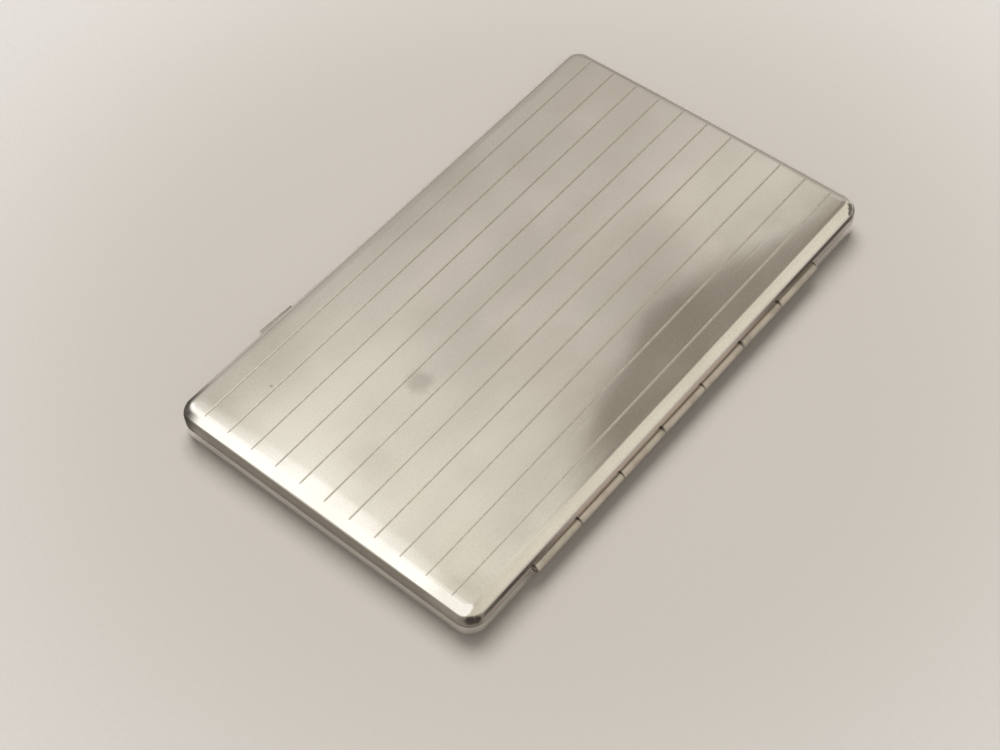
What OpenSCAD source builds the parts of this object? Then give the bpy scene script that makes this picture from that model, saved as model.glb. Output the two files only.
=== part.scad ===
// Slim hinged pocket case: two shallow silver trays joined along one long side by a
// knuckled hinge, and held shut by a sprung hook that a thumb piece on the other side frees.
//
// The origin is the middle of the flat underside. X runs across the case, from the thumb
// piece on the -X side to the hinge on the +X side. Y runs along the hinge, and Z is up.

/* [Trays] */
// Width across the trays, from the thumb side to the hinge side
case_w = 82; // [70:1:95]
// Length of the trays, along the hinge
case_l = 136; // [124:1:150]
// Depth of the base tray, from its underside to the seam
base_h = 4.9; // [4.6:0.1:7]
// Depth of the lid tray at its sides, from the seam to the top
lid_h = 4.7; // [4.6:0.1:7]
// Rise of the lid's crown in the middle of its width
lid_crown = 0.4; // [0.1:0.05:1]
// Thickness of the sheet that the trays are drawn from
sheet_t = 0.6; // [0.4:0.05:0.8]
// Radius of the corners, seen from above
corner_r = 4.2; // [3.6:0.1:7]
// Radius of the rounded edge round the top and round the underside
edge_r = 2.7; // [2:0.1:3.4]
// Gap between the two rims where they meet
seam_gap = 0.05; // [0.02:0.01:0.2]

/* [Engraved lines] */
// Number of lengthwise lines on the lid
line_count = 11; // [3:1:17]
// Width of a line
line_w = 0.35; // [0.2:0.05:0.6]
// Depth of a line
line_d = 0.08; // [0.04:0.01:0.2]

/* [Hinge] */
// Length of the whole barrel
barrel_l = 98; // [80:1:108]
// Outer radius of the barrel
barrel_r = 1.1; // [0.9:0.05:1.3]
// How far the hinge axis stands outside the side of the trays
axis_out = 0.12; // [0.08:0.01:0.3]
// Gap between the ends of neighbouring knuckles
knuckle_gap = 0.12; // [0.06:0.02:0.3]
// Gap between a knuckle and the groove of the tray that turns round it
groove_gap = 0.12; // [0.06:0.02:0.2]
// Radius of the hinge pin
pin_r = 0.45; // [0.3:0.05:0.6]
// Running clearance of the pin in the knuckles
pin_clear = 0.04; // [0.02:0.01:0.08]
// Length of the plug that closes each end of the barrel
plug_l = 1.6; // [0.8:0.1:3]
// Thickness of the bearer strips inside the hinge side
bearer_t = 1.5; // [1.3:0.1:2.4]
// Height of the bearer strips
bearer_h = 1.4; // [1.3:0.05:1.4]
// How far the bearer strips run on past each end of the barrel
bearer_over = 4; // [1:0.5:6]

/* [Lip] */
// Thickness of the lip strips inside the base's rim
lip_t = 0.5; // [0.3:0.05:0.7]
// How far the lip stands up into the lid
lip_rise = 1.1; // [0.6:0.1:1.3]
// How far the lip reaches down inside the base
lip_drop = 1.5; // [1:0.1:1.6]
// Gap between the lip and the walls of both trays
lip_gap = 0.1; // [0.06:0.01:0.15]
// Distance from the hinge side to the ends of the lip
lip_end = 5.4; // [4.6:0.1:8]
// Distance from each end of the catch's leaf spring to the lip
lip_from_leaf = 1; // [0.5:0.1:3]

/* [Thumb piece] */
// Distance from the near short side to the thumb piece
thumb_from_end = 26.8; // [26:0.1:60]
// Length of its proud part
thumb_l = 9.9; // [6:0.1:14]
// Length of the low tail beside it
tail_l = 3.7; // [2:0.1:5]
// How far it stands out of the lid at its near end
thumb_out_near = 1.8; // [1.2:0.05:2.4]
// How far it stands out where the tail starts
thumb_out_far = 1.35; // [1:0.05:2]
// How far the tail stands out
tail_out = 0.75; // [0.4:0.05:1]
// Height of the thumb piece
thumb_h = 1.4; // [1:0.05:1.6]
// Size of the sloped corner at its near end
thumb_bevel = 0.6; // [0.2:0.1:1]
// Gap round the thumb piece in its slot
slot_gap = 0.12; // [0.06:0.01:0.2]

/* [Catch] */
// Thickness of the flange behind the lid's wall
flange_t = 0.6; // [0.4:0.05:0.8]
// How far the flange runs past each end of the slot
flange_over = 0.8; // [0.5:0.1:1.5]
// Gap between the flange and the lid's wall
flange_gap = 0.05; // [0.02:0.01:0.1]
// Thickness of the leaf spring
leaf_t = 0.3; // [0.15:0.05:0.4]
// Width of the leaf spring, upwards
leaf_w = 2; // [1.4:0.1:2.2]
// Length of the leaf spring
leaf_l = 46; // [36:1:56]
// Length of the posts that carry the leaf
post_l = 4; // [3:0.5:6]
// Thickness of the hook plate
hook_t = 0.5; // [0.3:0.05:0.7]
// Length of the hook plate, along the case
hook_l = 9; // [6:0.5:11]
// How far the thumb piece can be pushed in
push_travel = 0.8; // [0.6:0.05:1]
// How far the hook is clear of the keeper when the thumb piece is pushed in
hook_free = 0.25; // [0.15:0.05:0.3]
// Height of the hook's nose
nose_h = 0.6; // [0.4:0.05:0.8]
// Play between the hook's nose and the keeper above it
nose_play = 0.1; // [0.05:0.01:0.2]
// Gap between the hook plate and the keeper's edge
hook_gap = 0.12; // [0.06:0.02:0.2]
// Height of the keeper ledge
keeper_h = 0.6; // [0.4:0.05:0.9]
// Depth of the keeper's top below the seam
keeper_drop = 0.4; // [0.2:0.05:0.6]
// Radius of the shanks of all the rivets
rivet_r = 0.4; // [0.3:0.05:0.5]
// Radius of the rivets' heads
rivet_head_r = 0.65; // [0.6:0.05:0.8]
// Height of the rivets' heads
rivet_head_h = 0.3; // [0.2:0.05:0.4]
// Metal left under a rivet's foot
rivet_floor = 0.2; // [0.1:0.05:0.3]
// Distance from each end of the hook plate to its rivet
rivet_from_end = 1.5; // [1:0.1:2.5]

/* [Elastic band] */
// Width of the band
band_w = 8; // [5:0.5:10]
// Thickness of the band
band_t = 0.7; // [0.5:0.1:1]
// Thickness of the sheet of the clips
clip_t = 0.4; // [0.3:0.05:0.5]
// Length of a clip, along the band
clip_l = 4; // [3:0.5:6]
// Distance from the end of a clip to the tray's wall at the rim
clip_from_wall = 3; // [2.8:0.1:6]
// Gap between the band and the clips
band_gap = 0.03; // [0.02:0.01:0.1]

/* [Hidden] */

silver = "#cfcac0";
silver_wire = "#bdb8ae";
spring_metal = "#8f9196";
elastic = "#2b2a2c";

// Facets of the rounded edges, and of what is turned or bored
$fn = 36;
// Number of places across the lid at which its crown is set out
crown_steps = 8;
// A cut runs this far past what it cuts
past = 1;
// Number of knuckles, as NODES names them
knuckle_count = 7;
// Gap that the solder fills between a piece and the hole or groove it is fixed in
solder_gap = 0.02;

// Rims, and where the wall stops being straight
seam_z = base_h;
rim_z = seam_z + seam_gap;
lid_top_z = seam_z + lid_h;
inner_x = case_w / 2 - sheet_t;
inner_y = case_l / 2 - sheet_t;

// Where the crown starts, and how high a crown stands at a distance x from the middle
crown_x = case_w / 2 - corner_r;
function crown_at(x, crown) = crown * (1 - pow(x / crown_x, 2));

// Hinge
axis_x = case_w / 2 + axis_out;
axis_z = seam_z;
knuckle_pitch = barrel_l / knuckle_count;
bore_r = pin_r + pin_clear;

// Thumb piece: its two ends, and its underside
thumb_y = -case_l / 2 + thumb_from_end;
tail_y = thumb_y + thumb_l;
tail_end_y = tail_y + tail_l;
catch_y = (thumb_y + tail_end_y) / 2;
thumb_z = rim_z + slot_gap;

// Catch, in layers from the lid's wall inwards
flange_x = -inner_x + flange_gap;
leaf_x = flange_x + flange_t;
hook_x = leaf_x + leaf_t;
hook_grip = push_travel - hook_free;
keeper_z = seam_z - keeper_drop;
nose_z = keeper_z - keeper_h - nose_play;
leaf_z = rim_z + slot_gap;
hook_top_z = leaf_z + leaf_w;
rivet_z = thumb_z + thumb_h / 2;
rivet_spread = hook_l - 2 * rivet_from_end;

// Elastic band, in its clips on the base's floor
band_z = sheet_t + clip_t + band_gap;
clip_end_y = inner_y - clip_from_wall;
clip_w = band_w + 2 * band_gap + 2 * clip_t;

// A rounded rectangle, inset from the sides of the trays
module inset_plan(inset) {
    r = corner_r - inset;
    x = case_w / 2 - inset - r;
    y = case_l / 2 - inset - r;
    square([2 * x, 2 * (y + r)], center = true);
    square([2 * (x + r), 2 * y], center = true);
    for (i = [-1, 1], j = [-1, 1]) translate([i * x, j * y]) circle(r);
}

// A quarter of a disc, standing on the X axis at a distance from the Y axis and filled up to it
module quarter_round(from_axis, r) {
    intersection() {
        translate([from_axis, 0]) circle(r);
        square([from_axis + r, r]);
    }
    if (from_axis > 0) square([from_axis, r]);
}

// One closed tray before it is hollowed, with its rim at z = 0 and its flat face upwards.
// skin shrinks it evenly, for the hollow, and reach carries its walls down past the rim.
module flat_pillow(depth, skin = 0, reach = 0) {
    ball_r = edge_r - skin;
    side_x = case_w / 2 - corner_r;
    side_y = case_l / 2 - corner_r;
    translate([0, 0, -reach]) linear_extrude(depth - edge_r + reach) inset_plan(skin);
    translate([0, 0, depth - edge_r]) {
        for (x = [-1, 1], y = [-1, 1])
            translate([x * side_x, y * side_y, 0])
                rotate_extrude() quarter_round(corner_r - edge_r, ball_r);
        for (turn = [0, 180]) rotate([0, 0, turn]) {
            translate([0, side_y, 0]) rotate([90, 0, 0])
                linear_extrude(2 * side_y) quarter_round(case_w / 2 - edge_r, ball_r);
            translate([-side_x, 0, 0]) rotate([90, 0, 90])
                linear_extrude(2 * side_x) quarter_round(case_l / 2 - edge_r, ball_r);
        }
    }
}

// The same, with a crown across its width
module crowned_pillow(depth, crown, skin = 0, reach = 0) {
    ball_r = edge_r - skin;
    hull() {
        for (x = [-1, 1], y = [-1, 1])
            translate([x * (case_w / 2 - corner_r), y * (case_l / 2 - corner_r), 0]) {
                translate([0, 0, -reach]) cylinder(r = corner_r - skin, h = depth - edge_r + reach);
                translate([0, 0, depth - edge_r])
                    rotate_extrude() quarter_round(corner_r - edge_r, ball_r);
            }
        for (i = [1:crown_steps - 1], y = [-1, 1]) {
            x = crown_x * (2 * i / crown_steps - 1);
            translate([x, y * (case_l / 2 - edge_r), depth - edge_r + crown_at(x, crown)])
                rotate_extrude() quarter_round(0, ball_r);
        }
    }
}

// The round groove along the hinge side. It fits closely round the tray's own knuckles,
// and leaves the other tray's knuckles room to turn. first is the tray's first knuckle.
module hinge_groove(first) {
    for (i = [0:knuckle_count - 1]) {
        own = i % 2 == first;
        below = i == 0 ? knuckle_gap : 0;
        above = i == knuckle_count - 1 ? knuckle_gap : 0;
        translate([axis_x, -barrel_l / 2 + i * knuckle_pitch - below, axis_z])
            rotate([-90, 0, 0])
            cylinder(r = barrel_r + (own ? solder_gap : groove_gap), h = knuckle_pitch + below + above);
    }
}

module base_tray() {
    color(silver)
    difference() {
        translate([0, 0, seam_z]) mirror([0, 0, 1]) flat_pillow(base_h);
        translate([0, 0, seam_z]) mirror([0, 0, 1]) flat_pillow(base_h, sheet_t, past);
        hinge_groove(1);
    }
}

module lid_tray() {
    depth = lid_h - seam_gap;
    line_pitch = case_w / (line_count + 1);
    line_l = case_l - 2 * edge_r;
    color(silver)
    difference() {
        translate([0, 0, rim_z]) crowned_pillow(depth, lid_crown);
        translate([0, 0, rim_z]) crowned_pillow(depth, lid_crown, sheet_t, past);
        hinge_groove(0);
        for (i = [1:line_count]) {
            x = i * line_pitch - case_w / 2;
            translate([x - line_w / 2, -line_l / 2, lid_top_z + crown_at(x, lid_crown) - line_d])
                cube([line_w, line_l, past]);
        }
        translate([-case_w / 2 - past, thumb_y - slot_gap, rim_z - past])
            cube([sheet_t + 2 * past, thumb_l + tail_l + 2 * slot_gap, thumb_h + 2 * slot_gap + past]);
    }
}

// Strips soldered inside the hinge side, with the same groove cut into them
module bearer(z, first) {
    length = barrel_l + 2 * bearer_over;
    color(silver)
    difference() {
        translate([inner_x - bearer_t, -length / 2, z]) cube([bearer_t, length, bearer_h]);
        hinge_groove(first);
    }
}
module base_bearer() { bearer(seam_z - bearer_h, 1); }
module lid_bearer() { bearer(rim_z, 0); }

// One knuckle of the barrel, numbered from the near end
module knuckle(number) {
    color(silver_wire)
    translate([axis_x, -barrel_l / 2 + (number - 1) * knuckle_pitch + knuckle_gap / 2, axis_z])
    rotate([-90, 0, 0])
    difference() {
        cylinder(r = barrel_r, h = knuckle_pitch - knuckle_gap);
        translate([0, 0, -past]) cylinder(r = bore_r, h = knuckle_pitch + 2 * past);
    }
}

module hinge_pin() {
    length = barrel_l - knuckle_gap - 2 * plug_l - 2 * knuckle_gap;
    color(spring_metal)
    translate([axis_x, -length / 2, axis_z]) rotate([-90, 0, 0]) cylinder(r = pin_r, h = length);
}

// A plug fills the end of the barrel; side is -1 at the near end and 1 at the far end
module plug(side) {
    end_y = barrel_l / 2 - knuckle_gap / 2;
    color(silver_wire)
    translate([axis_x, side > 0 ? end_y - plug_l : -end_y, axis_z])
        rotate([-90, 0, 0]) cylinder(r = bore_r - solder_gap / 2, h = plug_l);
}
module plug_near() { plug(-1); }
module plug_far() { plug(1); }

// The ring of lip strip inside the base's rim, open along the hinge side and at the catch
module lip_ring() {
    catch_room = leaf_l + 2 * lip_from_leaf;
    color(silver)
    translate([0, 0, seam_z - lip_drop])
    linear_extrude(lip_drop + lip_rise)
    difference() {
        inset_plan(sheet_t + lip_gap);
        inset_plan(sheet_t + lip_gap + lip_t);
        translate([case_w / 2 - lip_end, -case_l]) square([case_w, 2 * case_l]);
        translate([-case_w, catch_y - catch_room / 2]) square([case_w, catch_room]);
    }
}
module lip_near() {
    intersection() {
        lip_ring();
        translate([-case_w, -case_l, 0]) cube([2 * case_w, case_l + catch_y, 2 * base_h]);
    }
}
module lip_far() {
    intersection() {
        lip_ring();
        translate([-case_w, catch_y, 0]) cube([2 * case_w, 2 * case_l, 2 * base_h]);
    }
}

// The push piece: a bar through the slot in the lid's rim, with a flange behind the wall
module thumb_piece() {
    color(silver_wire) {
        translate([0, 0, thumb_z]) linear_extrude(thumb_h) polygon([
            [flange_x, thumb_y], [flange_x, tail_end_y],
            [-case_w / 2 - tail_out, tail_end_y], [-case_w / 2 - tail_out, tail_y],
            [-case_w / 2 - thumb_out_far, tail_y],
            [-case_w / 2 - thumb_out_near, thumb_y + thumb_bevel],
            [-case_w / 2 - thumb_out_near + thumb_bevel, thumb_y]
        ]);
        difference() {
            translate([flange_x, thumb_y - flange_over, thumb_z])
                cube([flange_t, thumb_l + tail_l + 2 * flange_over, thumb_h]);
            hook_rivet_places() cylinder(r = rivet_r + solder_gap, h = flange_t + past);
        }
    }
}

// The two places, seen from inside, where the hook plate is riveted to the thumb piece
module hook_rivet_places() {
    for (side = [-1, 1])
        translate([flange_x + rivet_floor, catch_y + side * rivet_spread / 2, rivet_z])
            rotate([0, 90, 0]) children();
}

// A rivet with a low round head at its inner end
module rivet(shank) {
    cylinder(r = rivet_r, h = shank);
    translate([0, 0, shank]) cylinder(r = rivet_head_r, h = rivet_head_h);
}

module hook_rivets() {
    color(silver_wire)
    hook_rivet_places() rivet(flange_t - rivet_floor + leaf_t + hook_t);
}

// The hook plate hangs from the leaf, and its nose turns outwards under the keeper
module catch_hook() {
    nose_out = hook_gap + hook_grip;
    color(spring_metal)
    difference() {
        union() {
            translate([hook_x, catch_y - hook_l / 2, nose_z - nose_h])
                cube([hook_t, hook_l, hook_top_z - nose_z + nose_h]);
            translate([hook_x - nose_out, catch_y - hook_l / 2, nose_z - nose_h])
                cube([nose_out + hook_t, hook_l, nose_h]);
        }
        hook_rivet_places() cylinder(r = rivet_r + solder_gap, h = flange_t + leaf_t + hook_t + past);
    }
}

module catch_spring() {
    color(spring_metal)
    difference() {
        translate([leaf_x, catch_y - leaf_l / 2, leaf_z]) cube([leaf_t, leaf_l, leaf_w]);
        hook_rivet_places() cylinder(r = rivet_r + solder_gap, h = flange_t + leaf_t + past);
        spring_rivet_places() cylinder(r = rivet_r + solder_gap, h = leaf_x + inner_x + leaf_t + past);
    }
}

// The places at the two ends of the leaf where it is riveted to its posts
module spring_rivet_places(sides = [-1, 1]) {
    for (side = sides)
        translate([-inner_x + rivet_floor, catch_y + side * (leaf_l - post_l) / 2, rivet_z])
            rotate([0, 90, 0]) children();
}

// A post is soldered to the lid's inner wall and holds the leaf off it
module spring_post(side) {
    color(silver)
    difference() {
        translate([-inner_x, catch_y + side * (leaf_l - post_l) / 2 - post_l / 2, leaf_z])
            cube([leaf_x + inner_x, post_l, thumb_h]);
        spring_rivet_places([side]) cylinder(r = rivet_r + solder_gap, h = leaf_x + inner_x + past);
    }
}
module spring_post_near() { spring_post(-1); }
module spring_post_far() { spring_post(1); }

module spring_rivets() {
    color(silver_wire)
    spring_rivet_places() rivet(leaf_x + inner_x - rivet_floor + leaf_t);
}

// The ledge soldered inside the base's wall, which the hook's nose goes under
module keeper() {
    width = hook_x - hook_gap + inner_x;
    color(silver)
    translate([-inner_x, catch_y - hook_l / 2, keeper_z - keeper_h]) cube([width, hook_l, keeper_h]);
}

// The band is stretched along the base's floor, with its ends in the two clips
module elastic_band() {
    length = 2 * (clip_end_y - clip_t - band_gap);
    color(elastic)
    translate([-band_w / 2, -length / 2, band_z]) cube([band_w, length, band_t]);
}

// A folded clip, soldered to the base's floor and open towards the middle of the case
module band_clip(side) {
    height = 2 * clip_t + band_t + 2 * band_gap;
    color(silver)
    translate([0, side * (clip_end_y - clip_l / 2), sheet_t])
    difference() {
        translate([-clip_w / 2, -clip_l / 2, 0]) cube([clip_w, clip_l, height]);
        translate([-band_w / 2 - band_gap, side > 0 ? -clip_l / 2 - past : -clip_l / 2 + clip_t, clip_t])
            cube([band_w + 2 * band_gap, clip_l - clip_t + past, band_t + 2 * band_gap]);
    }
}
module band_clip_near() { band_clip(-1); }
module band_clip_far() { band_clip(1); }

base_tray();
lid_tray();
base_bearer();
lid_bearer();
knuckle(1);  // lid_knuckle_1
knuckle(2);  // base_knuckle_2
knuckle(3);  // lid_knuckle_3
knuckle(4);  // base_knuckle_4
knuckle(5);  // lid_knuckle_5
knuckle(6);  // base_knuckle_6
knuckle(7);  // lid_knuckle_7
hinge_pin();
plug_near();
plug_far();
lip_near();
lip_far();
thumb_piece();
catch_hook();
hook_rivets();
catch_spring();
spring_post_near();
spring_post_far();
spring_rivets();
keeper();
elastic_band();
band_clip_near();
band_clip_far();
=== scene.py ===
import math
import bpy
import bmesh
import numpy as np
from mathutils import Matrix, Vector


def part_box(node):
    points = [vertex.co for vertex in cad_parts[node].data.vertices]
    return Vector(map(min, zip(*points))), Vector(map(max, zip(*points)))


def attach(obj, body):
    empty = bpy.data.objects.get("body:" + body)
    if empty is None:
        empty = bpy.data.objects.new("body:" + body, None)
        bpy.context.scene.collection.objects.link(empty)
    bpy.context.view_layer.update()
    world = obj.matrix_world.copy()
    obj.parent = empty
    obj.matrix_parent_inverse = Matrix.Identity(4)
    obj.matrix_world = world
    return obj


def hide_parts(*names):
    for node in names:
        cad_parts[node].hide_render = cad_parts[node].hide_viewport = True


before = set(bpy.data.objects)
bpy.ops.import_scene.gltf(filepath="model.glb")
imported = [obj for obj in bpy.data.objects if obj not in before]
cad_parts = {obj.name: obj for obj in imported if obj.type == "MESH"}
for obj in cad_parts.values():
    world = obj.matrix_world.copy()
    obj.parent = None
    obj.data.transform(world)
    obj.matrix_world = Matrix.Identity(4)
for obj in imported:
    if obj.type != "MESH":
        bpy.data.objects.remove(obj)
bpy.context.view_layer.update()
scene = bpy.context.scene
scene.view_settings.view_transform = "Standard"

# The photographer's view
# The case is seen from above its hinge side and its near short side, from about 0.4 m away,
# with the camera leaning a little to one side.
camera_aim = Vector((0.0054, -0.0167, 0.0049))
camera_distance = 0.3925
camera_azimuth = math.radians(43.12)
camera_elevation = math.radians(54.13)
camera_roll = math.radians(-4.17)
camera_lens = 66.1

back = Vector((math.sin(camera_azimuth) * math.cos(camera_elevation),
               -math.cos(camera_azimuth) * math.cos(camera_elevation),
               math.sin(camera_elevation)))
level_right = Vector((math.cos(camera_azimuth), math.sin(camera_azimuth), 0))
level_up = back.cross(level_right)
right = level_right * math.cos(camera_roll) + level_up * math.sin(camera_roll)
up = back.cross(right)
camera = bpy.data.objects.new("camera", bpy.data.cameras.new("camera"))
camera.data.lens = camera_lens
camera.data.clip_start = 0.01
turn = Matrix((right, up, back)).transposed().to_4x4()
camera.matrix_world = Matrix.Translation(camera_aim + back * camera_distance) @ turn
scene.collection.objects.link(camera)
scene.camera = camera


class Shade:
    """A set of shader nodes: each call adds one node and returns what it gives out."""

    def __init__(self, tree):
        self.tree = tree
        tree.nodes.clear()

    def add(self, kind, inputs=None, out=0, **settings):
        node = self.tree.nodes.new("ShaderNode" + kind)
        for name, value in settings.items():
            setattr(node, name, value)
        for name, value in (inputs or {}).items():
            socket = node.inputs[name]
            if isinstance(value, bpy.types.NodeSocket):
                self.tree.links.new(value, socket)
            else:
                socket.default_value = value
        return node.outputs[out] if node.outputs else node

    def math(self, operation, *values, clamp=False):
        return self.add("Math", dict(enumerate(values)), operation=operation, use_clamp=clamp)

    def dot(self, a, b):
        return self.add("VectorMath", {0: a, 1: b}, out="Value", operation="DOT_PRODUCT")

    def step(self, value, start, end, low=0.0, high=1.0):
        """Goes smoothly from low to high while value goes from start to end."""
        if start > end:
            start, end, low, high = end, start, high, low
        return self.add("MapRange", {"Value": value, "From Min": start, "From Max": end,
                                     "To Min": low, "To Max": high}, interpolation_type="SMOOTHSTEP")

    def mix(self, share, a, b):
        node = self.tree.nodes.new("ShaderNodeMix")
        node.data_type = "RGBA"
        for socket, value in ((node.inputs[0], share), (node.inputs[6], a), (node.inputs[7], b)):
            if isinstance(value, bpy.types.NodeSocket):
                self.tree.links.new(value, socket)
            else:
                socket.default_value = (*value, 1) if isinstance(value, tuple) else value
        return node.outputs[2]

    def noise(self, place, size, detail=3.0, rough=0.5, stretch=(1, 1, 1), shift=(0, 0, 0)):
        """Cloudy noise from 0 to 1, whose lumps are about size metres across."""
        moved = self.add("Mapping", {"Vector": place, "Location": shift, "Scale": stretch})
        given = {"Vector": moved, "Scale": 1 / size, "Detail": detail, "Roughness": rough}
        return self.add("TexNoise", given)


# The table and the light
# A plain pale, warm grey table under a soft light from the side of the thumb piece, its colour
# painted paler away from the case as painted light. The room that the silver mirrors is dull
# beyond the far end, with one dark patch in it, and has a large white window behind the near end.
table_colour = (0.42, 0.393, 0.359)
table_painted_light_colour = (0.535, 0.518, 0.50)
table_half = 3.0
room_top = (0.98, 0.95, 0.88)
room_side = (0.60, 0.56, 0.50)
room_low = (0.30, 0.275, 0.24)
room_far = (0.62, 0.565, 0.51)
room_near = (0.88, 0.84, 0.74)
room_patch = (0.262, 0.224, 0.18)
room_hinge = (0.80, 0.75, 0.635)
room_window = (1.35, 1.33, 1.27)
camera_backdrop = (0.66, 0.63, 0.60)
plain_light = (0.60, 0.585, 0.57)
plain_strength = 0.65
speckle_colour = (0.36, 0.335, 0.31)
speckle_size = 0.0012
table_painted_light_from = 0.07
table_painted_light_full = 0.18
lamps = (("key", (-0.60, 0.50, 1.85), 1.4, 47.0),
         ("fill", (1.3, -0.9, 1.8), 1.8, 7.0))
window_towards = Vector((-0.35, -0.65, 0.67)).normalized()
window_rim = 0.51
window_full = 0.64
chart_towards = Vector((-0.394, 0.428, 0.813)).normalized()

bpy.ops.mesh.primitive_plane_add(size=2 * table_half)
table = bpy.context.object
table.name = "table"
cloth = bpy.data.materials.new("table")
cloth.use_nodes = True
shade = Shade(cloth.node_tree)
place = shade.add("TexCoord", out="Object")
away = shade.add("VectorMath", {0: place}, out="Value", operation="LENGTH")
speckle = shade.noise(place, speckle_size, detail=2)
# painted light: the table's colour turns paler away from the case
tone = shade.mix(shade.step(away, table_painted_light_from, table_painted_light_full), table_colour, table_painted_light_colour)
tone = shade.mix(shade.step(speckle, 0.3, 0.8, 0.0, 0.10), tone, speckle_colour)
surface = shade.add("BsdfPrincipled", {"Base Color": tone, "Roughness": 0.85})
shade.add("OutputMaterial", {"Surface": surface})
table.data.materials.append(cloth)

world = bpy.data.worlds.new("room")
scene.world = world
world.use_nodes = True
shade = Shade(world.node_tree)
towards = shade.add("TexCoord", out="Generated")
height = shade.dot(towards, (0, 0, 1))
whole = shade.mix(shade.step(height, 0.0, 0.45), room_low, room_side)
whole = shade.mix(shade.step(height, 0.6, 0.95), whole, room_top)
beyond_hinge = shade.step(shade.dot(towards, (1, 0, 0)), -0.1, 0.25)
beyond_hinge = shade.math("MULTIPLY", beyond_hinge, shade.step(height, -0.1, 0.1))
whole = shade.mix(beyond_hinge, whole, room_hinge)

# The part of the room that the lid mirrors is set out on a flat chart: along runs as the mirrored
# lines of the lid do, towards its near end, and aside runs across them, towards the hinge.
depth = shade.dot(towards, chart_towards)
across_axis = Vector((-0.735, -0.678, 0.0))
up_axis = Vector((0.551, -0.598, 0.582))
along_axis = (across_axis + up_axis) / math.sqrt(2)
aside_axis = (up_axis - across_axis) / math.sqrt(2)
along = shade.math("DIVIDE", shade.dot(towards, along_axis), depth)
aside = shade.math("DIVIDE", shade.dot(towards, aside_axis), depth)
wobble = shade.math("SUBTRACT", shade.noise(towards, 0.035, detail=3), 0.5)
tone = shade.mix(shade.step(along, -0.07, 0.12), room_far, room_near)
light = shade.math("MULTIPLY", shade.step(along, -0.10, -0.15), shade.step(aside, -0.03, 0.03))
tone = shade.mix(shade.math("MULTIPLY", light, 0.35), tone, room_near)
tone = shade.mix(shade.step(aside, -0.08, -0.17, 0.0, 0.45), tone, room_low)
tone = shade.mix(shade.step(along, -0.16, -0.36, 0.0, 0.5), tone, room_low)

# The dark patch is a blunt wedge with its tip towards the middle of the lid: it fades out
# towards the near end, thins towards the far end and has a faint shade beside it.
tip_along = -0.078
tip_aside = 0.046
wedge_spread = 0.42
off_tip = shade.math("ABSOLUTE", shade.math("SUBTRACT", along, tip_along))
edge = shade.math("MULTIPLY_ADD", off_tip, wedge_spread, tip_aside)
edge = shade.math("MULTIPLY_ADD", wobble, 0.022, edge)
past_edge = shade.math("SUBTRACT", aside, edge)
uneven = shade.step(wobble, -0.22, 0.1, 1.0, 0.86)
inside = shade.math("MULTIPLY", shade.step(past_edge, -0.003, 0.006), uneven)
beside = shade.step(past_edge, -0.04, 0.0, 0.0, 0.14)
beside = shade.math("MULTIPLY", beside, shade.step(along, -0.12, -0.08))
inside = shade.math("MAXIMUM", inside, beside)
inside = shade.math("MULTIPLY", inside, shade.step(along, 0.04, -0.015))
thinned = shade.step(along, -0.185, -0.15, 0.6, 1.0)
thinned = shade.math("MAXIMUM", thinned, shade.step(aside, 0.082, 0.095))
inside = shade.math("MULTIPLY", inside, thinned)
tone = shade.mix(inside, tone, room_patch)
tone = shade.mix(shade.step(aside, 0.15, 0.38), tone, room_hinge)

# Soft clouds over all of it, and the glow of the window's edge on the near end of the lid.
cloud = shade.noise(towards, 0.045, detail=4, rough=0.6)
tone = shade.mix(shade.step(cloud, 0.42, 0.72, 0.0, 0.24), tone, room_low)
tone = shade.mix(shade.step(cloud, 0.45, 0.28, 0.0, 0.16), tone, room_near)
tone = shade.mix(shade.step(depth, 0.5, 0.75), whole, tone)
glow_aside = -0.03
from_glow = shade.math("ABSOLUTE", shade.math("SUBTRACT", aside, glow_aside))
glow = shade.math("MULTIPLY", shade.step(along, 0.075, 0.145), shade.step(from_glow, 0.11, 0.0, 0.0, 0.9))
tone = shade.mix(shade.math("MULTIPLY", glow, shade.step(depth, 0.8, 0.95)), tone, room_window)
in_window = shade.step(shade.dot(towards, window_towards), window_rim, window_full)
tone = shade.mix(in_window, tone, room_window)

# What lights the table, and what a camera sees beyond it, are plain.
path = shade.tree.nodes.new("ShaderNodeLightPath")
seen = shade.add("Background", {"Color": (*camera_backdrop, 1), "Strength": 1.0})
plain = shade.add("Background", {"Color": (*plain_light, 1), "Strength": plain_strength})
room = shade.add("Background", {"Color": tone, "Strength": 1.0})
lit = shade.add("MixShader", {0: path.outputs["Is Glossy Ray"], 1: plain, 2: room})
lit = shade.add("MixShader", {0: path.outputs["Is Camera Ray"], 1: lit, 2: seen})
shade.add("OutputWorld", {"Surface": lit})

for name, spot, size, watts in lamps:
    lamp = bpy.data.objects.new(name, bpy.data.lights.new(name, "AREA"))
    lamp.data.shape = "DISK"
    lamp.data.size = size
    lamp.data.energy = watts
    lamp.data.color = (1.0, 0.985, 0.96)
    lamp.location = spot
    lamp.rotation_euler = (Vector((0, 0, 0)) - lamp.location).to_track_quat("-Z", "Y").to_euler()
    lamp.visible_glossy = False
    scene.collection.objects.link(lamp)
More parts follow.
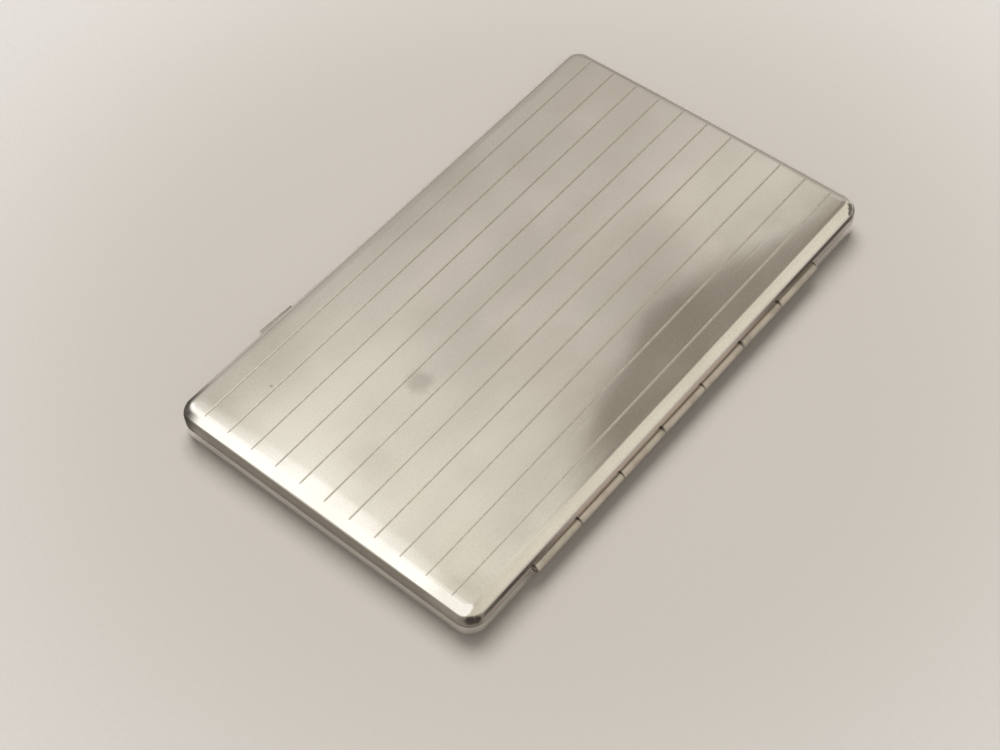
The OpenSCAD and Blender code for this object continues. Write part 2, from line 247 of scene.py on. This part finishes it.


# Silver of the two trays
# Sterling sheet with a fine satin grain along the case, polished round its edges where a pocket
# rubs it, and dulled by thin patches of tarnish. A darker band along the parting and black in the crevices
# by the hinge are painted shade.
mm = 0.001
box_low, box_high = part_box("base_tray")
case_w = box_high.x - box_low.x
case_l = box_high.y - box_low.y
seam_z = box_high.z
lid_low, lid_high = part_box("lid_tray")
rim_z = lid_low.z
lid_crown = 0.4 * mm
lid_top_z = lid_high.z - lid_crown
sheet_t = 0.6 * mm
corner_r = 4.2 * mm
edge_r = 2.7 * mm
field_x = case_w / 2 - corner_r
field_y = case_l / 2 - corner_r
near_bow = 6.5 * mm
near_bend = 5.5
hinge_band_drop = 0.3 * mm
line_count = 11
line_w = 0.36 * mm
line_d = 0.035 * mm
line_pitch = case_w / (line_count + 1)
silver_clean = (0.87, 0.85, 0.81)
silver_dull = (0.70, 0.675, 0.60)
silver_painted_shade = (0.29, 0.265, 0.23)
silver_line = (0.63, 0.60, 0.54)
silver_black = (0.03, 0.026, 0.022)
hinge_side_painted_shade = (0.62, 0.54, 0.50)


def silver(name, marks=(), lines=False, band_full_z=0.0, band_gone_z=0.0):
    """Satin silver. marks are (place, radius, share, colour) of single spots, tarnish and some black ones,
    and the band of painted shade along the parting is full at the lower height given and gone at the upper
    one."""
    material = bpy.data.materials.new(name)
    material.use_nodes = True
    shade = Shade(material.node_tree)
    place = shade.add("TexCoord", out="Object")
    parts = shade.tree.nodes.new("ShaderNodeSeparateXYZ")
    shade.tree.links.new(place, parts.inputs[0])
    x, y, z = parts.outputs
    from_side = shade.math("SUBTRACT", case_w / 2, shade.math("ABSOLUTE", x))
    from_end = shade.math("SUBTRACT", case_l / 2, shade.math("ABSOLUTE", y))
    from_edge = shade.math("MINIMUM", from_side, from_end)
    field = shade.step(from_edge, edge_r * 0.8, edge_r * 1.15)

    clouds = shade.noise(place, 22 * mm, detail=4, rough=0.55)
    streaks = shade.noise(place, 8 * mm, detail=4, rough=0.6, stretch=(1, 0.3, 1), shift=(3, 1, 0))
    dull = shade.math("MULTIPLY", shade.step(clouds, 0.38, 0.66), shade.step(streaks, 0.3, 0.7, 0.3, 1.0))
    tone = shade.mix(shade.math("MULTIPLY", dull, 0.42), silver_clean, silver_dull)
    if lines:
        # the engraved lines hold a little tarnish, worn away in places
        share = shade.math("DIVIDE", shade.math("ADD", x, case_w / 2), line_pitch)
        from_line = shade.math("MULTIPLY", shade.math("PINGPONG", share, 0.5), line_pitch)
        cut = shade.step(from_line, 0.62 * line_w, 0.2 * line_w)
        worn = shade.noise(place, 1.2 * mm, detail=4, rough=0.6, shift=(11, 0, 0))
        cut = shade.math("MULTIPLY", cut, shade.step(worn, 0.34, 0.55, 0.35, 1.0))
        cut = shade.math("MULTIPLY", cut, shade.step(from_edge, edge_r * 0.98, edge_r * 1.06))
        tone = shade.mix(cut, tone, silver_line)

    # painted shade: a dark band along the parting, a painted reflection of the shadowed table in the
    # lid's wall, pinker and a little lower on the hinge side
    past_corner = shade.step(from_end, corner_r * 0.6, corner_r * 1.1)
    on_hinge_side = shade.step(x, case_w / 2 - 2.6 * mm, case_w / 2 - 1.2 * mm)
    on_hinge_side = shade.math("MULTIPLY", on_hinge_side, past_corner)
    painted_shade_band = shade.step(shade.math("MULTIPLY_ADD", on_hinge_side, hinge_band_drop, z), band_gone_z, band_full_z)
    band_painted_shade_tone = shade.mix(on_hinge_side, silver_painted_shade, hinge_side_painted_shade)
    tone = shade.mix(painted_shade_band, tone, band_painted_shade_tone)

    # painted shade: black where the band turns a corner, and in the crevice above both ends of the barrel
    in_corner = shade.step(from_side, corner_r, corner_r * 0.4)
    in_corner = shade.math("MULTIPLY", in_corner, shade.step(from_end, corner_r, corner_r * 0.4))
    far_line = shade.math("MULTIPLY", on_hinge_side, shade.step(y, 0.10 * case_l, 0.32 * case_l))
    near_line = shade.math("MULTIPLY", on_hinge_side, shade.step(y, -0.22 * case_l, -0.40 * case_l))
    lines_at_hinge = shade.math("MAXIMUM", far_line, near_line)
    below_band = shade.step(z, band_full_z - 0.1 * mm, band_full_z - 0.5 * mm)
    lines_at_hinge = shade.math("MULTIPLY", lines_at_hinge, below_band)
    in_corner = shade.math("MULTIPLY", in_corner, shade.step(z, band_full_z + 0.2 * mm, band_full_z - 0.2 * mm))
    painted_black_shade = shade.math("MAXIMUM", in_corner, lines_at_hinge)
    painted_black_shade = shade.math("MULTIPLY", painted_black_shade, shade.step(z, band_full_z - 1.8 * mm, band_full_z - 1.4 * mm))
    tone = shade.mix(shade.math("MULTIPLY", painted_black_shade, 0.93), tone, silver_black)
    if lines:
        # a black arc round the near corner on the thumb side, and a dark rim as far as the thumb piece,
        # painted shade that dims the rim's reflection beside the piece
        out_x = shade.math("MAXIMUM", shade.math("SUBTRACT", -field_x, x), 0.0)
        out_y = shade.math("MAXIMUM", shade.math("SUBTRACT", -field_y, y), 0.0)
        out_r = shade.math("ADD", shade.math("POWER", out_x, 2.0), shade.math("POWER", out_y, 2.0))
        out_r = shade.math("SQRT", out_r)
        arc = shade.step(out_r, corner_r - 2.4 * mm, corner_r - 1.4 * mm)
        arc = shade.math("MULTIPLY", arc, shade.step(y, -field_y + 8 * mm, -field_y - 1 * mm))
        arc = shade.math("MULTIPLY", arc, shade.step(x, -field_x + 3 * mm, -field_x - 1 * mm))
        thumb_rim_painted_shade = shade.step(x, 1.6 * mm - case_w / 2, 0.7 * mm - case_w / 2)
        near_thumb = shade.step(y, -0.12 * case_l, -0.21 * case_l, 0.0, 0.6)
        thumb_rim_painted_shade = shade.math("MULTIPLY", thumb_rim_painted_shade, near_thumb)
        # painted shade on the rim beside the thumb piece
        tone = shade.mix(thumb_rim_painted_shade, tone, silver_painted_shade)
        tone = shade.mix(shade.math("MULTIPLY", arc, 0.96), tone, silver_black)

    # single spots, a fine mottle and the satin grain
    for spot_at, radius, share, colour in marks:
        ragged = shade.noise(place, radius * 0.9, detail=3, shift=(spot_at[0] * 90, 0, 0))
        gap = shade.add("VectorMath", {0: place, 1: spot_at}, out="Value", operation="DISTANCE")
        gap = shade.math("MULTIPLY_ADD", ragged, radius * 0.9, gap)
        tone = shade.mix(shade.step(gap, radius * 1.8, radius * 0.9, 0.0, share), tone, colour)
    mottle = shade.noise(place, 0.45 * mm, detail=4, rough=0.7, shift=(0, 5, 0))
    tone = shade.mix(shade.step(mottle, 0.35, 0.7, 0.0, 0.18), tone, (0.50, 0.475, 0.43))

    grain = shade.noise(place, 0.16 * mm, detail=2, stretch=(1, 0.06, 1))
    waves = shade.noise(place, 14 * mm, detail=2, stretch=(1, 0.7, 1), shift=(0, 2, 0))
    scratches = shade.noise(place, 0.9 * mm, detail=3, stretch=(1, 0.03, 1), shift=(7, 0, 0))
    lift = shade.math("MULTIPLY", shade.step(scratches, 0.60, 0.72), -0.0005 * mm)
    lift = shade.math("MULTIPLY_ADD", shade.math("MULTIPLY", grain, field), 0.00045 * mm, lift)
    lift = shade.math("MULTIPLY_ADD", waves, 0.012 * mm, lift)
    if lines:
        # the flat bends down a little towards its near end
        bowed = shade.math("SUBTRACT", near_bow - case_l / 2, y)
        bowed = shade.math("MINIMUM", shade.math("MAXIMUM", bowed, 0.0), near_bow - edge_r)
        lift = shade.math("MULTIPLY_ADD", shade.math("POWER", bowed, 2.0), -near_bend, lift)
    bump = shade.add("Bump", {"Height": lift, "Distance": 1.0, "Strength": 1.0})
    rough = shade.math("MULTIPLY_ADD", field, 0.005, 0.05)
    rough = shade.math("MULTIPLY_ADD", dull, 0.025, rough)
    rough = shade.math("MULTIPLY_ADD", painted_shade_band, 0.12, rough)
    if lines:
        rough = shade.math("MULTIPLY_ADD", arc, 0.3, rough)
    surface = shade.add("BsdfPrincipled", {
        "Base Color": tone, "Metallic": 1.0, "Roughness": rough, "Normal": bump})
    shade.add("OutputMaterial", {"Surface": surface})
    return material


def polished(name, tone, worn, rough, seed=0.0, breaks=None):
    """Bright metal with slight wear: tone is its colour, worn the colour of its dull patches.
    breaks are the first place along Y and the pitch of the dirty joints in a row of such pieces,
    and the place across, inwards of which the tone is painted darker as painted shade and the joints are
    dirtier."""
    material = bpy.data.materials.new(name)
    material.use_nodes = True
    shade = Shade(material.node_tree)
    place = shade.add("TexCoord", out="Object")
    dull = shade.step(shade.noise(place, 5 * mm, detail=4, rough=0.6, shift=(seed, 0, 0)), 0.4, 0.7)
    grain = shade.noise(place, 0.12 * mm, detail=2, stretch=(1, 0.08, 1), shift=(seed, 0, 0))
    bump = shade.add("Bump", {"Height": shade.math("MULTIPLY", grain, 0.0012 * mm), "Distance": 1.0})
    tone = shade.mix(shade.math("MULTIPLY", dull, 0.6), tone, worn)
    if breaks:
        first, pitch, middle_x = breaks
        parts = shade.tree.nodes.new("ShaderNodeSeparateXYZ")
        shade.tree.links.new(place, parts.inputs[0])
        # painted shade: the barrel darkens inwards of its middle, towards the crevice under the lid
        crevice_painted_shade = shade.step(parts.outputs[0], middle_x + 0.5 * mm, middle_x - 0.3 * mm, 0.0, 0.7)
        tone = shade.mix(crevice_painted_shade, tone, silver_painted_shade)
        share = shade.math("DIVIDE", shade.math("SUBTRACT", parts.outputs[1], first), pitch)
        from_break = shade.math("MULTIPLY", shade.math("PINGPONG", share, 0.5), pitch)
        from_break = shade.math("MULTIPLY_ADD", dull, -0.25 * mm, from_break)
        dirt = shade.step(from_break, 0.42 * mm, 0.12 * mm, 0.0, 0.7)
        inwards = shade.step(parts.outputs[0], middle_x + 1.0 * mm, middle_x + 0.2 * mm, 0.25, 1.0)
        dirt = shade.math("MULTIPLY", dirt, inwards)
        tone = shade.mix(dirt, tone, silver_black)
    surface = shade.add("BsdfPrincipled", {
        "Base Color": tone, "Metallic": 1.0,
        "Roughness": shade.math("MULTIPLY_ADD", dull, 0.12, rough), "Normal": bump})
    shade.add("OutputMaterial", {"Surface": surface})
    return material


tarnish = (0.42, 0.39, 0.35)
worn_tarnish = (0.52, 0.49, 0.43)
smudge = ((-4.3 * mm, -31.2 * mm, lid_top_z), 3.0 * mm, 0.42, tarnish)
speck = ((-28.4 * mm, -51.2 * mm, lid_top_z), 0.45 * mm, 0.7, tarnish)
dulled_end = ((36 * mm, -65 * mm, 9.3 * mm), 6.5 * mm, 0.45, worn_tarnish)
near_spots = ((39.7, -66.7, 7.4, 1.25), (40.5, -65.7, 7.1, 1.15))
near_black = [((x * mm, y * mm, z * mm), radius * mm, 0.97, silver_black)
              for x, y, z, radius in near_spots]
far_spots = ((39.4, 65.2, 9.1, 0.75), (40.0, 64.5, 8.9, 0.75), (40.45, 63.7, 8.6, 0.6))
far_black = [((x * mm, y * mm, z * mm), radius * mm, 0.85, silver_black)
             for x, y, z, radius in far_spots]
lid_marks = (smudge, speck, dulled_end, *near_black, *far_black)
# heights where the lid's band of painted shade along the parting is full and where it is gone
lid_band_full_z = rim_z + 3.35 * mm
lid_band_gone_z = rim_z + 3.75 * mm
silver_lid = silver("silver_lid", lid_marks, True, band_full_z=lid_band_full_z, band_gone_z=lid_band_gone_z)
silver_base = silver("silver_base", band_full_z=-2 * mm, band_gone_z=-1 * mm)
gilt = polished("gilt_wash", (0.90, 0.76, 0.50), (0.80, 0.70, 0.54), 0.2)
silver_wire = polished("silver_wire", (0.66, 0.605, 0.55), (0.46, 0.415, 0.365), 0.36, seed=3.0)
knuckle_low, knuckle_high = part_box("lid_knuckle_1")
next_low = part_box("base_knuckle_2")[0]
first_break = (knuckle_high.y + next_low.y) / 2
knuckle_middle_x = (knuckle_low.x + knuckle_high.x) / 2
silver_knuckles = polished("silver_knuckles", (0.56, 0.51, 0.46), (0.36, 0.325, 0.285), 0.33, seed=3.0,
                           breaks=(first_break, next_low.y - knuckle_low.y, knuckle_middle_x))
silver_thumb = polished("silver_thumb", (0.56, 0.52, 0.465), (0.34, 0.31, 0.27), 0.3, seed=9.0)
spring_metal = polished("spring_metal", (0.72, 0.70, 0.64), (0.55, 0.52, 0.45), 0.25, seed=5.0)


# Lid tray and base tray
# Each is drawn from one sheet into a shallow tray, open at the parting. The lid is a little
# crowned across its width, and eleven lines are engraved along it, from rounding to rounding.
arc_steps = 14
corner_steps = 16
along_steps = 72


def line_stations():
    """Places across the lid, close together where a line is cut, and the depth there, 0 to 1."""
    left = ((-0.75, 0), (-0.5, 0), (-0.36, 0.35), (-0.2, 0.8))
    shape = (*left, (0, 1), *((-offset, deep) for offset, deep in reversed(left)))
    found = [(-field_x, 0.0)]
    for i in range(1, line_count + 1):
        middle = i * line_pitch - case_w / 2
        start = found[-1][0]
        for share in (0.33, 0.67):
            found.append((start + (middle - 0.75 * line_w - start) * share, 0.0))
        found += [(middle + offset * line_w, deep) for offset, deep in shape]
    start = found[-1][0]
    found += [(start + (field_x - start) * share, 0.0) for share in (0.5, 1.0)]
    return found


def skin(stations_x, stations_y, rim, top, inset):
    """The closed face of a tray as quads of corners, from its rim to its flat, all pointing outwards."""
    start_r = corner_r - edge_r
    ball_r = edge_r - inset
    profile = [(0.0, top - inset), (start_r * 0.5, top - inset)] if start_r > 0 else [(0.0, top - inset)]
    for i in range(arc_steps + 1):
        angle = math.pi / 2 * i / arc_steps
        profile.append((start_r + ball_r * math.sin(angle), top - edge_r + ball_r * math.cos(angle)))
    wall = abs(top - edge_r - rim)
    profile += [(corner_r - inset, top - edge_r - wall * share) for share in (0.33, 0.67, 1.0)]
    quads = []
    for xa, xb in zip(stations_x, stations_x[1:]):
        for ya, yb in zip(stations_y, stations_y[1:]):
            z = profile[0][1]
            quads.append(((xa, ya, z), (xb, ya, z), (xb, yb, z), (xa, yb, z)))
    for (ra, za), (rb, zb) in zip(profile, profile[1:]):
        for ya, yb in zip(stations_y, stations_y[1:]):
            quads.append(((field_x + ra, ya, za), (field_x + rb, ya, zb),
                          (field_x + rb, yb, zb), (field_x + ra, yb, za)))
            quads.append(((-field_x - ra, yb, za), (-field_x - rb, yb, zb),
                          (-field_x - rb, ya, zb), (-field_x - ra, ya, za)))
        for xa, xb in zip(stations_x, stations_x[1:]):
            quads.append(((xb, field_y + ra, za), (xb, field_y + rb, zb),
                          (xa, field_y + rb, zb), (xa, field_y + ra, za)))
            quads.append(((xa, -field_y - ra, za), (xa, -field_y - rb, zb),
                          (xb, -field_y - rb, zb), (xb, -field_y - ra, za)))
        for quarter in range(4):
            for i in range(corner_steps):
                a = math.pi / 2 * (quarter + i / corner_steps)
                b = math.pi / 2 * (quarter + (i + 1) / corner_steps)
                cx = field_x if quarter in (0, 3) else -field_x
                cy = field_y if quarter in (0, 1) else -field_y
                quads.append(((cx + ra * math.cos(a), cy + ra * math.sin(a), za),
                              (cx + rb * math.cos(a), cy + rb * math.sin(a), zb),
                              (cx + rb * math.cos(b), cy + rb * math.sin(b), zb),
                              (cx + ra * math.cos(b), cy + ra * math.sin(b), za)))
    return quads


def tray(name, rim, top, crown, stations, cutters):
    """One tray, with its rim below its flat. The base tray is made that way up and turned over."""
    stations_x = [x for x, deep in stations]
    stations_y = list(np.linspace(-field_y, field_y, along_steps + 1))
    outer = skin(stations_x, stations_y, rim, top, 0.0)
    inner = [tuple(reversed(quad)) for quad in skin(stations_x, stations_y, rim, top, sheet_t)]
    mesh = bmesh.new()
    for layer, quads in enumerate((outer, inner)):
        for quad in quads:
            corners = [mesh.verts.new(corner) for corner in quad]
            mesh.faces.new(corners).material_index = layer
    bmesh.ops.remove_doubles(mesh, verts=mesh.verts, dist=1e-7)
    bmesh.ops.dissolve_degenerate(mesh, edges=mesh.edges, dist=1e-7)
    rims = [edge for edge in mesh.edges if edge.is_boundary]
    bmesh.ops.bridge_loops(mesh, edges=rims)

    depths_x = np.array([x for x, deep in stations])
    depths = np.array([deep for x, deep in stations])
    for vert in mesh.verts:
        x, y, z = vert.co
        lift = crown * max(0.0, 1 - (2 * x / case_w) ** 2) * max(0.0, (z - rim) / (top - rim))
        if z > top - 1e-6 and abs(x) < field_x and abs(y) < case_l / 2:
            fade = min(1.0, max(0.0, (case_l / 2 - edge_r - abs(y)) / (1.2 * mm) + 1.0))
            lift -= line_d * float(np.interp(x, depths_x, depths)) * fade
        vert.co.z = z + lift
    data = bpy.data.meshes.new(name)
    mesh.to_mesh(data)
    mesh.free()
    piece = bpy.data.objects.new(name, data)
    scene.collection.objects.link(piece)
    data.materials.append(silver_lid)
    data.materials.append(gilt)
    for cutter in cutters:
        cut = piece.modifiers.new("cut", "BOOLEAN")
        cut.operation = "DIFFERENCE"
        cut.solver = "EXACT"
        cut.object = cutter
    return piece


def applied(piece):
    """The piece with its modifiers turned into plain mesh, smooth but for its real edges."""
    shown = piece.evaluated_get(bpy.context.evaluated_depsgraph_get())
    data = bpy.data.meshes.new_from_object(shown)
    piece.modifiers.clear()
    piece.data = data
    data.name = piece.name
    data.polygons.foreach_set("use_smooth", [True] * len(data.polygons))
    data.set_sharp_from_angle(angle=math.radians(38))
    return piece


barrel_low, barrel_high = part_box("lid_knuckle_1")
barrel_r = (barrel_high.z - barrel_low.z) / 2
axis_x = barrel_high.x - barrel_r
axis_z = (barrel_low.z + barrel_high.z) / 2
knuckle_l = barrel_high.y - barrel_low.y
knuckle_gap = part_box("base_knuckle_2")[0].y - barrel_high.y
barrel_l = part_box("lid_knuckle_7")[1].y - barrel_low.y
groove_gap = 0.12 * mm
bpy.ops.mesh.primitive_cylinder_add(vertices=64, radius=barrel_r + groove_gap,
                                    depth=barrel_l + 2 * knuckle_gap,
                                    location=(axis_x, 0, axis_z), rotation=(math.pi / 2, 0, 0))
groove = bpy.context.object
thumb_low, thumb_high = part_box("thumb_piece")
flange_over = 0.8 * mm
slot_gap = 0.12 * mm
slot_past = 1 * mm
slot_low = Vector((-case_w / 2 - slot_past, thumb_low.y + flange_over - slot_gap, rim_z - slot_past))
slot_high = Vector((-case_w / 2 + sheet_t + slot_past,
                    thumb_high.y - flange_over + slot_gap, thumb_high.z + slot_gap))
bpy.ops.mesh.primitive_cube_add(size=1, location=(slot_low + slot_high) / 2, scale=slot_high - slot_low)
slot = bpy.context.object

lid = tray("lid_shell", rim_z, lid_top_z, lid_crown, line_stations(), (groove, slot))
applied(lid)
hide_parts("lid_tray")
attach(lid, "lid")

plain_stations = [(x, 0.0) for x in np.linspace(-field_x, field_x, 41)]
base = tray("base_shell", -seam_z, 0.0, 0.0, plain_stations, ())
for vert in base.data.vertices:
    vert.co.z = -vert.co.z
base.data.flip_normals()
base.data.materials[0] = silver_base
cut = base.modifiers.new("cut", "BOOLEAN")
cut.operation = "DIFFERENCE"
cut.solver = "EXACT"
cut.object = groove
applied(base)
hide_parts("base_tray")
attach(base, "base")
for cutter in (groove, slot):
    bpy.data.objects.remove(cutter)


# Hinge knuckles
# Seven lengths of drawn silver tube, soldered in turn to the lid and to the base, with their
# ends just broken by a file. The row is laid out by one tree, once for each tray.
knuckle_bevel = 0.1 * mm
bore_r = 0.49 * mm


def knuckle_tree():
    tree = bpy.data.node_groups.new("knuckle_row", "GeometryNodeTree")
    tree.interface.new_socket("Geometry", in_out="OUTPUT", socket_type="NodeSocketGeometry")
    for name in ("Radius", "Bore", "Length", "Pitch", "First", "Axis X", "Axis Z", "Bevel"):
        tree.interface.new_socket(name, in_out="INPUT", socket_type="NodeSocketFloat")
    tree.interface.new_socket("Count", in_out="INPUT", socket_type="NodeSocketInt")
    tree.interface.new_socket("Material", in_out="INPUT", socket_type="NodeSocketMaterial")
    given = tree.nodes.new("NodeGroupInput").outputs

    def add(kind, inputs, **settings):
        node = tree.nodes.new(kind)
        for name, value in settings.items():
            setattr(node, name, value)
        for name, value in inputs.items():
            if isinstance(value, bpy.types.NodeSocket):
                tree.links.new(value, node.inputs[name])
            else:
                node.inputs[name].default_value = value
        return node.outputs[0]

    wall = add("ShaderNodeMath", {0: given["Radius"], 1: given["Bore"]}, operation="SUBTRACT")
    middle = add("ShaderNodeMath", {0: given["Radius"], 1: given["Bore"]}, operation="ADD")
    middle = add("ShaderNodeMath", {0: middle, 1: 0.5}, operation="MULTIPLY")
    ring = add("GeometryNodeCurvePrimitiveCircle", {"Resolution": 48, "Radius": middle})
    section = add("GeometryNodeCurvePrimitiveQuadrilateral", {"Width": wall, "Height": given["Length"]})
    corner = {"Curve": section, "Count": 3, "Radius": given["Bevel"]}
    section = add("GeometryNodeFilletCurve", corner, mode="POLY")
    tube = add("GeometryNodeCurveToMesh", {"Curve": ring, "Profile Curve": section})
    start = add("ShaderNodeCombineXYZ", {"X": given["Axis X"], "Y": given["First"], "Z": given["Axis Z"]})
    pitch = add("ShaderNodeCombineXYZ", {"Y": given["Pitch"]})
    row = {"Count": given["Count"], "Start Location": start, "Offset": pitch}
    places = add("GeometryNodeMeshLine", row)
    lying = {"Points": places, "Instance": tube, "Rotation": (math.pi / 2, 0, 0)}
    laid = add("GeometryNodeInstanceOnPoints", lying)
    solid = add("GeometryNodeRealizeInstances", {"Geometry": laid})
    solid = add("GeometryNodeSetMaterial", {"Geometry": solid, "Material": given["Material"]})
    end = tree.nodes.new("NodeGroupOutput")
    tree.links.new(solid, end.inputs[0])
    return tree


def knuckle_row(name, first, count, body):
    piece = bpy.data.objects.new(name, bpy.data.meshes.new(name))
    scene.collection.objects.link(piece)
    row = piece.modifiers.new("row", "NODES")
    row.node_group = row_tree
    pitch = knuckle_l + knuckle_gap
    sizes = {"Radius": barrel_r, "Bore": bore_r, "Length": knuckle_l, "Pitch": 2 * pitch,
             "Bevel": knuckle_bevel, "First": barrel_low.y + knuckle_l / 2 + first * pitch,
             "Axis X": axis_x, "Axis Z": axis_z,
             "Count": count, "Material": silver_knuckles}
    for item in row_tree.interface.items_tree:
        if item.in_out == "INPUT":
            row[item.identifier] = sizes[item.name]
    applied(piece)
    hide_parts(*[f"{body}_knuckle_{first + 1 + 2 * i}" for i in range(count)])
    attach(piece, body)
    return piece


row_tree = knuckle_tree()
knuckle_row("lid_knuckles", 0, 4, "lid")
knuckle_row("base_knuckles", 1, 3, "base")


# Hinge pin, plugs and bearers
# The pin is hard drawn wire; a silver plug closes each end of the barrel over it. The bearers
# are strips soldered inside the hinge side of each tray, gilt with the rest of the inside.
def finish(node, material):
    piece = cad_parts[node]
    piece.data.materials.clear()
    piece.data.materials.append(material)


finish("hinge_pin", spring_metal)
for node in ("plug_near", "plug_far"):
    finish(node, silver_wire)
gilt_strips = ("base_bearer", "lid_bearer", "lip_near", "lip_far",
               "keeper", "spring_post_near", "spring_post_far")
for node in gilt_strips:
    finish(node, gilt)


# Thumb piece
# A small silver bar that stands out of a slot in the lid's rim, tapered and stepped down to a
# low tail, with its corners smoothed by use. Its flange lies behind the lid's wall.
thumb_bevel = 0.18 * mm
thumb_out_near = 1.8 * mm
thumb_out_far = 1.35 * mm
tail_out = 0.75 * mm
tail_l = 3.7 * mm
end_slope = 0.6 * mm
flange_t = 0.6 * mm
near_y = thumb_low.y + flange_over
far_y = thumb_high.y - flange_over
side_x = -case_w / 2
back_x = thumb_high.x
outline = [(back_x, near_y),
           (side_x - thumb_out_near + end_slope, near_y), (side_x - thumb_out_near, near_y + end_slope),
           (side_x - thumb_out_far, far_y - tail_l), (side_x - tail_out, far_y - tail_l),
           (side_x - tail_out, far_y), (back_x, far_y)]


def bar(mesh, points, low, high):
    floor = [mesh.verts.new((x, y, low)) for x, y in points]
    roof = [mesh.verts.new((x, y, high)) for x, y in points]
    mesh.faces.new(list(reversed(floor)))
    mesh.faces.new(roof)
    for i in range(len(points)):
        j = (i + 1) % len(points)
        mesh.faces.new((floor[i], floor[j], roof[j], roof[i]))


mesh = bmesh.new()
bar(mesh, list(reversed(outline)), thumb_low.z, thumb_high.z)
flange = [(back_x, thumb_low.y), (back_x, thumb_high.y),
          (back_x - flange_t, thumb_high.y), (back_x - flange_t, thumb_low.y)]
bar(mesh, flange, thumb_low.z, thumb_high.z)
bmesh.ops.recalc_face_normals(mesh, faces=mesh.faces)
data = bpy.data.meshes.new("thumb_bar")
mesh.to_mesh(data)
mesh.free()
thumb = bpy.data.objects.new("thumb_bar", data)
scene.collection.objects.link(thumb)
data.materials.append(silver_thumb)
soften = thumb.modifiers.new("soften", "BEVEL")
soften.width = thumb_bevel
soften.segments = 4
soften.limit_method = "ANGLE"
applied(thumb)
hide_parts("thumb_piece")
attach(thumb, "catch")


# Catch
# Behind the thumb piece a flat spring, riveted to two posts, carries a hook plate whose nose
# goes under the keeper in the base. The spring and the hook plate are left bare, in the hard metal they are
# cut from.
for node in ("catch_hook", "catch_spring"):
    finish(node, spring_metal)
for node in ("hook_rivets", "spring_rivets"):
    finish(node, silver_wire)


# Elastic band and its clips
# Woven elastic, ribbed along its length by the rubber cords inside it, stretched along the
# floor of the base. A folded clip, soldered to the floor, holds each end.
band_low, band_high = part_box("elastic_band")
band_ribs = 11
rib_rise = 0.09 * mm
weave = bpy.data.materials.new("elastic_weave")
weave.use_nodes = True
shade = Shade(weave.node_tree)
place = shade.add("TexCoord", out="Object")
waves = {"Vector": place, "Scale": 420.0, "Distortion": 1.5, "Detail": 1.0}
thread = shade.add("TexWave", waves, out="Fac", bands_direction="Y")
fuzz = shade.noise(place, 0.35 * mm, detail=3)
tone = shade.mix(shade.step(thread, 0.2, 0.8), (0.045, 0.038, 0.034), (0.13, 0.115, 0.10))
tone = shade.mix(shade.step(fuzz, 0.5, 0.8, 0.0, 0.5), tone, (0.20, 0.18, 0.16))
bump = shade.add("Bump", {"Height": shade.math("MULTIPLY", thread, 0.05 * mm), "Distance": 1.0})
surface = shade.add("BsdfPrincipled", {
    "Base Color": tone, "Roughness": 0.85, "Sheen Weight": 0.3, "Normal": bump})
shade.add("OutputMaterial", {"Surface": surface})

rows = 260
columns = band_ribs * 6
mesh = bmesh.new()
for sign in (1, -1):
    grid = []
    for i in range(rows + 1):
        y = band_low.y + (band_high.y - band_low.y) * i / rows
        line = []
        for j in range(columns + 1):
            share = j / columns
            rib = abs(math.sin(math.pi * band_ribs * share))
            z = band_high.z - rib_rise * (1 - rib) if sign > 0 else band_low.z + rib_rise * (1 - rib)
            line.append(mesh.verts.new((band_low.x + (band_high.x - band_low.x) * share, y, z)))
        grid.append(line)
    for a, b in zip(grid, grid[1:]):
        for j in range(columns):
            corners = (a[j], a[j + 1], b[j + 1], b[j])
            mesh.faces.new(corners if sign > 0 else tuple(reversed(corners)))
bmesh.ops.bridge_loops(mesh, edges=[edge for edge in mesh.edges if edge.is_boundary])
bmesh.ops.recalc_face_normals(mesh, faces=mesh.faces)
data = bpy.data.meshes.new("elastic_strip")
mesh.to_mesh(data)
mesh.free()
band = bpy.data.objects.new("elastic_strip", data)
scene.collection.objects.link(band)
data.materials.append(weave)
applied(band)
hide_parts("elastic_band")
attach(band, "base")
for node in ("band_clip_near", "band_clip_far"):
    finish(node, gilt)
